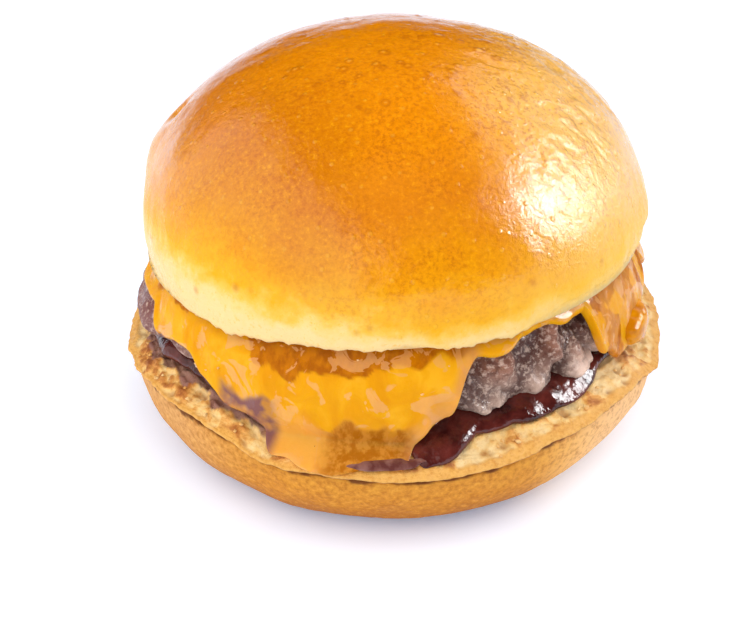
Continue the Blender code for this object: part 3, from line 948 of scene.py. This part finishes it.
# Blisters: raised where gas pushed the glaze up, most of them over the top.
blister_luck = random.Random(11)
blisters = []
for _ in range(300):
    bearing = blister_luck.uniform(0, 360)
    rise = blister_luck.random() ** 0.6
    blisters.append((
        spot(CROWN_RADIUS * math.sqrt(1 - rise * rise * 0.98), bearing, CROWN_HEIGHT * rise),
        blister_luck.uniform(0.00045, 0.0009),
        blister_luck.uniform(0.5, 1.0),
    ))
BLISTER_CELL = 0.004
blister_cells = {}
for blister in blisters:
    key = tuple(int(c // BLISTER_CELL) for c in blister[0])
    blister_cells.setdefault(key, []).append(blister)


def blistered(place):
    """How high the glaze is raised here, as a share of a blister's height."""
    high = 0.0
    x, y, z = (int(c // BLISTER_CELL) for c in place)
    for i in (x - 1, x, x + 1):
        for j in (y - 1, y, y + 1):
            for k in (z - 1, z, z + 1):
                for centre, size, strength in blister_cells.get((i, j, k), ()):
                    away = (place - centre).length / size
                    if away < 2.2:
                        high = max(high, strength * math.exp(-away * away))
    return high


def crown_shape(i, radius, bearing, height):
    place = spot(radius, bearing, height)
    outside = i < LAST_OUTSIDE
    if not outside:
        return radius, height, 0.0, 0.0, 0.0, 0.0
    near_lip = 1 - ease(height / 0.010)
    sag = sum(fall * band(bearing, start, end, soft) for start, end, soft, fall in LIP_SAGS)
    rim = spot(CROWN_RADIUS, bearing, 0.0)
    sag += 0.0006 * lumps(rim, 0.006) + 0.0007 * lumps(rim, 0.0017, 2) * (1 - ease(height / 0.0022))
    swell = waver(bearing, DOME_WAVES) * radius / CROWN_RADIUS
    for dent_bearing, dent_height, size, depth in DENTS:
        aside = math.radians((bearing - dent_bearing + 180) % 360 - 180) * CROWN_RADIUS
        near = math.exp(-(aside ** 2 + (height - dent_height) ** 2) / size ** 2)
        swell -= depth * near if height > CROWN_WAIST else 0
    blister = blistered(place) * ease(height / 0.012)
    skin = uneven(place, GLAZE_LUMPS) + BLISTER_HEIGHT * blister
    patchily = ease(0.6 + 1.6 * lumps(place, 0.011))
    creased = patchily * ease((radius - 0.010) / 0.02)
    creased *= band(bearing, *WRINKLED_SIDE) * ease((height - 0.014) / 0.008)
    diagonal = Vector((place.x + 0.5 * place.z, place.y, 0.6 * place.z))
    skin -= WRINKLE_DEPTH * creased * abs(lumps(diagonal, 0.0042, 3)) ** 0.8
    on_side = ease((radius - 0.010) / 0.022)
    level = height / CROWN_HEIGHT - 0.16 * band(bearing, *LESS_BAKED) * on_side
    level += 0.05 * band(bearing, *MORE_BAKED) * ease((height - 0.0015) / 0.006) * on_side
    up = min(1.0, max(0.0, level)) ** 2
    puckers = 0.00018 * near_lip * lumps(Vector((place.x, place.y, 0.15 * place.z)), 0.004)
    out = swell + (skin + puckers) * (1 - up)
    pale = band(bearing, *WINDOW_LIT_SIDE) * on_side
    brown = band(bearing, *SHADED_PATCH) * ease((level - 0.16) / 0.2) * on_side
    return radius + out, height + skin * up - sag * near_lip, level, blister, pale, brown


CROWN_MARKS = ("level", "blister", "pale", "brown")
crown = turned_skin("crown_crust", crown_outline, 600, crown_shape, CROWN_MARKS)
lean_back = Euler((-LEAN_FRONT, -LEAN_RIGHT, 0)).to_matrix().to_4x4()
crown.data.transform(Matrix.Translation((0, 0, CROWN_BASE)) @ lean_back)
crown_finish, tree, surface = new_material("crown_crust")
broad = grain_at(tree, 0.022, 4.0, 0.55)
cloudy = grain_at(tree, 0.0045, 5.0, 0.65)
baked = marked(tree, "level")
for cloud, share in ((broad, 0.40), (cloudy, 0.30)):
    drift = sums(tree, "MULTIPLY", sums(tree, "SUBTRACT", cloud, 0.5), share)
    baked = sums(tree, "ADD", baked, drift)
tone = steps(
    tree, baked,
    (0.00, (0.88, 0.63, 0.28)), (0.05, (0.88, 0.60, 0.21)), (0.11, (0.86, 0.51, 0.080)),
    (0.18, (0.84, 0.40, 0.012)), (0.36, (0.785, 0.295, 0.001)), (0.60, (0.68, 0.200, 0.0003)),
    (0.82, (0.74, 0.225, 0.0003)), (0.97, (0.80, 0.25, 0.0003)),
)
# Painted light on the window side of the dome.
tone = tinted(tree, tone, "pale", 0.70, (0.92, 0.52, 0.055))
# Painted shade, darkening the left front of the dome.
tone = tinted(tree, tone, "brown", 0.8, (0.87, 0.87, 0.9), "MULTIPLY")
speckle = grain_at(tree, 0.0008, 4.0, 0.7)
clustered = steps(tree, grain_at(tree, 0.009, 3.0), (0.40, 0.5), (0.60, 1.0))
upwards = steps(tree, marked(tree, "level"), (0.12, 0.1), (0.45, 1.0))
clustered = sums(tree, "MULTIPLY", clustered, upwards)
dark_specks = sums(tree, "MULTIPLY", steps(tree, speckle, (0.48, 0.0), (0.64, 0.65)), clustered)
tone = blended(tree, dark_specks, tone, (0.46, 0.105, 0.001))
tone = blended(tree, steps(tree, speckle, (0.30, 0.5), (0.44, 0.0)), tone, (0.93, 0.42, 0.004))
BUBBLES_PER_METRE = 360.0
where = add(tree, "ShaderNodeTexCoord").outputs["Object"]
cells = add(tree, "ShaderNodeTexVoronoi", Vector=where, Scale=BUBBLES_PER_METRE).outputs["Distance"]
bubble = steps(tree, cells, (0.10, 1.0), (0.18, 0.0))
tone = blended(tree, sums(tree, "MULTIPLY", bubble, 0.22), tone, (0.95, 0.50, 0.04))
ringed = steps(tree, marked(tree, "blister"), (0.05, 0.0), (0.30, 0.55), (0.60, 0.0))
tone = blended(tree, ringed, tone, (0.46, 0.11, 0.002))
blister_tops = steps(tree, marked(tree, "blister"), (0.55, 0.0), (0.85, 0.6))
tone = blended(tree, blister_tops, tone, (0.93, 0.50, 0.09))
tree.links.new(tone, surface.inputs["Base Color"])
tree.links.new(steps(tree, cloudy, (0.35, 0.22), (0.65, 0.34)), surface.inputs["Roughness"])
surface.inputs["Specular IOR Level"].default_value = 0.04
glazed = steps(tree, marked(tree, "level"), (0.10, 0.0), (0.40, 1.0))
tree.links.new(glazed, surface.inputs["Coat Weight"])
surface.inputs["Coat Roughness"].default_value = 0.11
wrinkle = grain_at(tree, 0.0024, 3.0, 0.6, distortion=0.7)
relief = sums(tree, "MULTIPLY", speckle, 0.35)
relief = sums(tree, "ADD", relief, sums(tree, "MULTIPLY", wrinkle, 0.65))
relief = sums(tree, "ADD", relief, sums(tree, "MULTIPLY", bubble, 0.35))
bumped(tree, surface, relief, 0.00055, 0.6)
rippled = steps(tree, marked(tree, "pale"), (0.2, 0.25), (0.95, 0.85))
bumped(tree, surface, relief, 0.0006, rippled, "Coat Normal")
crown.data.materials.append(crown_finish)
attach(crown, "root")
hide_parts("bun_crown")


# ----------------------------------------------------------
# The smear and the drip. Thin pools with round edges: a smear of the same sauce that ran off
# its lobe along the heel's rim, and one drop of melted cheese fat hanging at the right.

POOL_RINGS = 14
POOL_COLUMNS = 72


def pooled(name, middle, half, level, rise, thick, lay):
    """A domed pool over an uneven patch, half degrees wide and rise high each way.

    lay(bearing, height) gives the radius of what it lies on.
    """
    vertices = []
    for side in (1, 0):
        for k in range(POOL_RINGS + 1):
            share = k / POOL_RINGS
            for j in range(POOL_COLUMNS if k else 1):
                turn = 2 * math.pi * j / POOL_COLUMNS
                way = Vector((math.cos(turn), math.sin(turn), 0.0))
                uneven = share * (1 + 0.45 * lumps(way + Vector((middle, 0, 0)), 0.9, 2))
                bearing = middle + half * uneven * way.x
                height = level + rise * uneven * way.y
                dome = side * thick * math.sqrt(1 - share ** 3)
                vertices.append(spot(lay(bearing, height) + dome - 0.0003, bearing, height))
    faces = []
    back = 1 + POOL_RINGS * POOL_COLUMNS
    for first, turned in ((0, False), (back, True)):
        for j in range(POOL_COLUMNS):
            after = (j + 1) % POOL_COLUMNS
            ring = [(first, first + 1 + j, first + 1 + after)]
            for k in range(POOL_RINGS - 1):
                row = first + 1 + k * POOL_COLUMNS
                ring.append((row + j, row + POOL_COLUMNS + j, row + POOL_COLUMNS + after, row + after))
            faces += [face[::-1] for face in ring] if turned else ring
    rim = 1 + (POOL_RINGS - 1) * POOL_COLUMNS
    for j in range(POOL_COLUMNS):
        after = (j + 1) % POOL_COLUMNS
        faces.append((rim + j, back + rim + j, back + rim + after, rim + after))
    return placed(name, vertices, faces)


def on_rim(bearing, height):
    level = height - heel_lift(BUN_RADIUS, bearing, EDGE_HEIGHT)
    return cut_face_radius(level) + heel_spread(BUN_RADIUS, bearing) + 0.0016


smear = pooled("smear", -2.0, 8.0, 0.0208, 0.0006, 0.0006, on_rim)
smear_finish, tree, surface = new_material("smear")
tree.links.new(
    steps(tree, grain_at(tree, 0.003, 3.0), (0.40, (0.12, 0.034, 0.028)), (0.60, (0.25, 0.110, 0.090))),
    surface.inputs["Base Color"],
)
surface.inputs["Roughness"].default_value = 0.15
bumped(tree, surface, grain_at(tree, 0.0014, 2.0), 0.0003, 0.5)
smear.data.materials.append(smear_finish)
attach(smear, "root")


def on_cheese(bearing, height):
    return drape_radius(bearing, height) + CHEESE_THICKNESS


drip = pooled("drip", 66.5, 5.4, 0.0285, 0.0038, 0.0026, on_cheese)
drip_finish, tree, surface = new_material("drip")
tree.links.new(
    steps(tree, grain_at(tree, 0.004, 3.0), (0.40, (0.74, 0.29, 0.002)), (0.60, (0.54, 0.17, 0.001))),
    surface.inputs["Base Color"],
)
surface.inputs["Roughness"].default_value = 0.10
surface.inputs["Specular IOR Level"].default_value = 0.18
bumped(tree, surface, grain_at(tree, 0.003, 2.0), 0.0003, 0.3)
drip.data.materials.append(drip_finish)
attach(drip, "root")


# ----------------------------------------------------------
# Crumbs. Flecks of the bun's own bread that broke off where the halves were torn: a few on the
# cheese under the lip, the rest on the heel beside the sauce.

crumb_luck = random.Random(23)
crumbs_vertices = []
crumbs_faces = []
CRUMB_BELTS = 7
CRUMB_SIDES = 10
# How fast the shape of a crumb changes with its place.
CRUMB_VARIETY = 1000


def drop_crumb(bearing, height, radius, size):
    """An uneven fleck of bread with its middle at this place."""
    centre = spot(radius, bearing, height)
    first = len(crumbs_vertices)
    for i in range(CRUMB_BELTS + 1):
        rise = math.pi * i / CRUMB_BELTS
        for j in range(CRUMB_SIDES if 0 < i < CRUMB_BELTS else 1):
            turn = 2 * math.pi * j / CRUMB_SIDES
            way = Vector((
                math.sin(rise) * math.cos(turn), math.sin(rise) * math.sin(turn), 0.6 * math.cos(rise),
            ))
            reach = size * (0.8 + 0.7 * lumps(way + CRUMB_VARIETY * centre, 0.8, 2))
            crumbs_vertices.append(centre + reach * way)
    for j in range(CRUMB_SIDES):
        after = (j + 1) % CRUMB_SIDES
        crumbs_faces.append((first, first + 1 + j, first + 1 + after))
        for i in range(CRUMB_BELTS - 2):
            row = first + 1 + i * CRUMB_SIDES
            crumbs_faces.append((row + j, row + CRUMB_SIDES + j, row + CRUMB_SIDES + after, row + after))
        row = first + 1 + (CRUMB_BELTS - 2) * CRUMB_SIDES
        crumbs_faces.append((row + j, row + CRUMB_SIDES, row + after))


# Where the heel is bare of cheese: (start, end).
BARE_HEEL = ((13, 60), (-75, -32), (75, 290))
for _ in range(36):
    bearing = crumb_luck.choice([crumb_luck.uniform(*ends) for ends in BARE_HEEL])
    radius = crumb_luck.uniform(0.0495, 0.0522)
    top = cut_face(radius) + heel_lift(radius, bearing, EDGE_HEIGHT)
    drop_crumb(bearing, top + 0.0003, radius, crumb_luck.uniform(0.0003, 0.0006))
for _ in range(6):
    bearing = crumb_luck.uniform(-50, 12)
    height = crumb_luck.uniform(0.030, 0.038)
    radius = drape_radius(bearing, height) + CHEESE_THICKNESS + 0.0001
    lifted = height + lean(radius, bearing, height)
    drop_crumb(bearing, lifted, radius, crumb_luck.uniform(0.00018, 0.00034))

crumbs = placed("crumbs", crumbs_vertices, crumbs_faces)
crumbs_finish, tree, surface = new_material("crumbs")
tree.links.new(
    steps(tree, grain_at(tree, 0.002, 4.0), (0.40, (0.93, 0.66, 0.30)), (0.60, (0.80, 0.40, 0.10))),
    surface.inputs["Base Color"],
)
surface.inputs["Roughness"].default_value = 0.8
bumped(tree, surface, grain_at(tree, 0.0005, 3.0), 0.0003, 0.8)
crumbs.data.materials.append(crumbs_finish)
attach(crumbs, "root")
